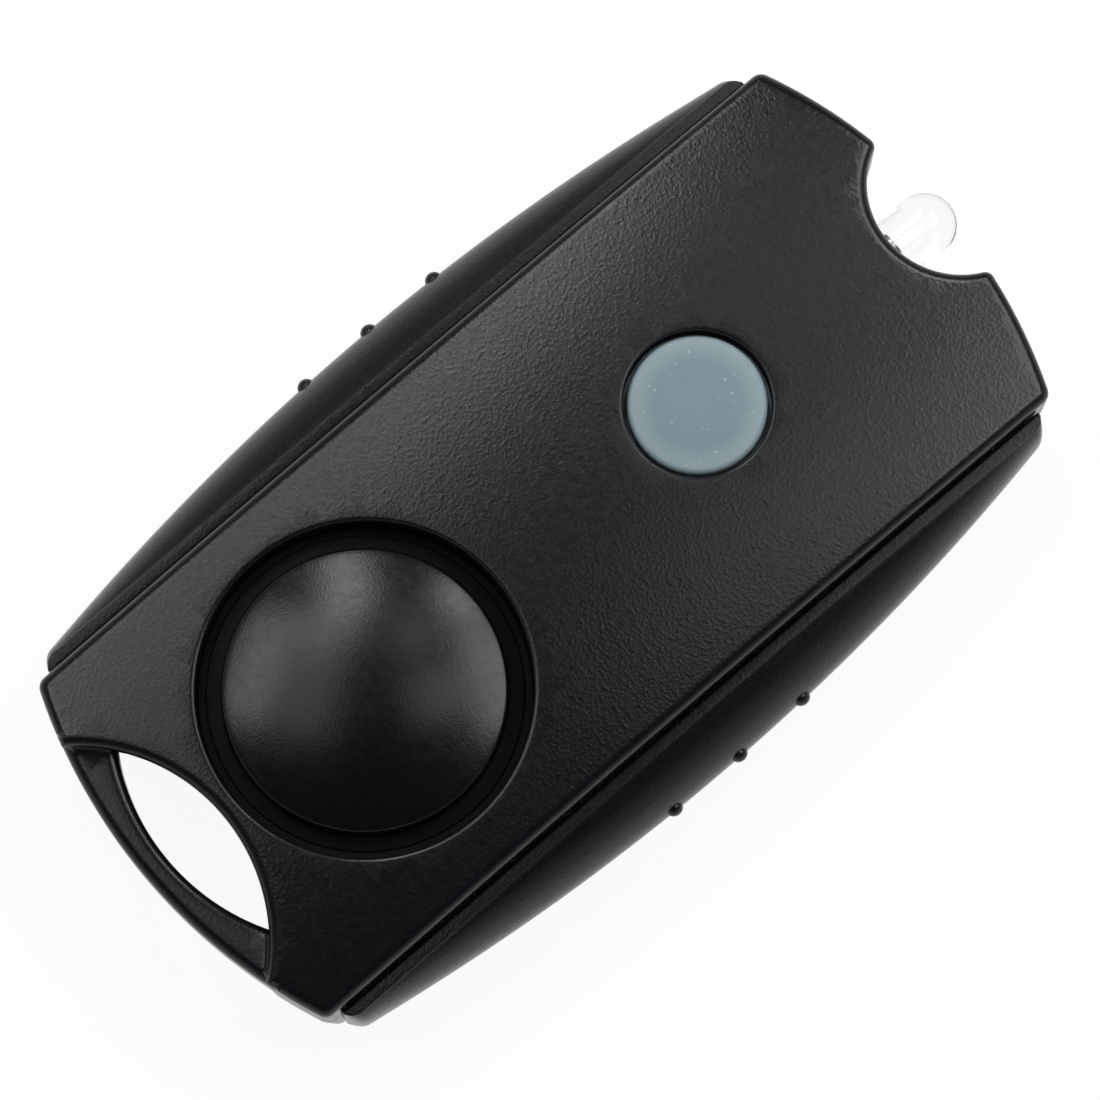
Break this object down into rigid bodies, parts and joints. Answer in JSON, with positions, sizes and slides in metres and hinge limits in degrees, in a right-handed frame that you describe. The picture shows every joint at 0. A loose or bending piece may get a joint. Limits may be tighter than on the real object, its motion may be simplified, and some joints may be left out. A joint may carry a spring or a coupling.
{
  "type": "personal safety alarm",
  "caption": "Handheld personal alarm with a domed panic button, silicone light button, end torch LED, strap loop, side grips and a coin-turn battery cap.",
  "frame": {"origin": "middle of the flat back, halfway between the crests of the two bowed ends", "axes": "+Y along the case towards the LED end, +Z out of the front face with the two buttons, +X to the right seen from the front with the LED up"},
  "size_m": [0.0448, 0.0816, 0.0166],
  "materials": {
    "black_plastic": "fine leather grain",
    "grip_plastic": "satin",
    "button_plastic": "semi-gloss, very fine grain",
    "silicone": "matt",
    "carbon_pill": "matt",
    "clear_lens": "clear, polished",
    "steel": "plated",
    "cell_steel": "bright nickel",
    "contact_brass": "plated strip",
    "siren_brass": "rolled",
    "board": "solder mask",
    "package": "moulded",
    "switch_body": "moulded",
    "switch_plunger": "moulded",
    "ferrite": "matt",
    "copper": "enamelled wire",
    "piezo_ceramic": "fired silver",
    "aluminium_can": "drawn",
    "foam": "closed-cell foam",
    "seal_rubber": "satin",
    "lead_wire": "insulated wire"
  },
  "bodies": {
    "case": {"front_cover": "black_plastic", "back_cover": "black_plastic", "left_grip": "grip_plastic", "right_grip": "grip_plastic", "case_screws": "steel", "alarm_button_spring": "steel", "alarm_switch_body": "switch_body", "light_button_skirt": "silicone", "led_lens": "clear_lens", "led_leadframe": "steel", "circuit_board": "board", "board_screws": "steel", "driver_chip": "package", "boost_coil_core": "ferrite", "boost_coil_winding": "copper", "transistor": "package", "resistors": "package", "capacitor": "aluminium_can", "siren_plate": "siren_brass", "siren_ceramic": "piezo_ceramic", "siren_gasket": "foam", "siren_leads": "lead_wire", "coin_cell_lower": "cell_steel", "coin_cell_upper": "cell_steel", "battery_contact_negative": "contact_brass", "battery_contact_positive": "contact_brass", "battery_cap_seal": "seal_rubber"},
    "alarm_button": {"alarm_button": "button_plastic"},
    "alarm_switch_plunger": {"alarm_switch_plunger": "switch_plunger"},
    "light_button": {"light_button": "silicone", "light_contact_pill": "carbon_pill"},
    "battery_cap": {"battery_cap": "black_plastic"}
  },
  "joints": [
    {"name": "alarm_button_press", "type": "slide", "parent": "case", "child": "alarm_button", "axis": [0, 0, -1], "range_m": [0, 0.0012], "stiffness_N_per_m": 500, "springref_m": -0.0015, "deforming": ["alarm_button_spring"]},
    {"name": "alarm_switch_press", "type": "slide", "parent": "case", "child": "alarm_switch_plunger", "axis": [0, 0, -1], "range_m": [0, 0.0012]},
    {"name": "light_button_press", "type": "slide", "parent": "case", "child": "light_button", "axis": [0, 0, -1], "range_m": [0, 0.0009], "stiffness_N_per_m": 500, "springref_m": -0.001, "deforming": ["light_button_skirt"]},
    {"name": "battery_cap_turn", "type": "hinge", "parent": "case", "child": "battery_cap", "pos_m": [0, 0.014, 0.001], "axis": [0, 0, 1], "range_deg": [0, 60]}
  ],
  "couplings": [
    {"joint": "alarm_switch_press", "follows": "alarm_button_press", "ratio": 1}
  ]
}
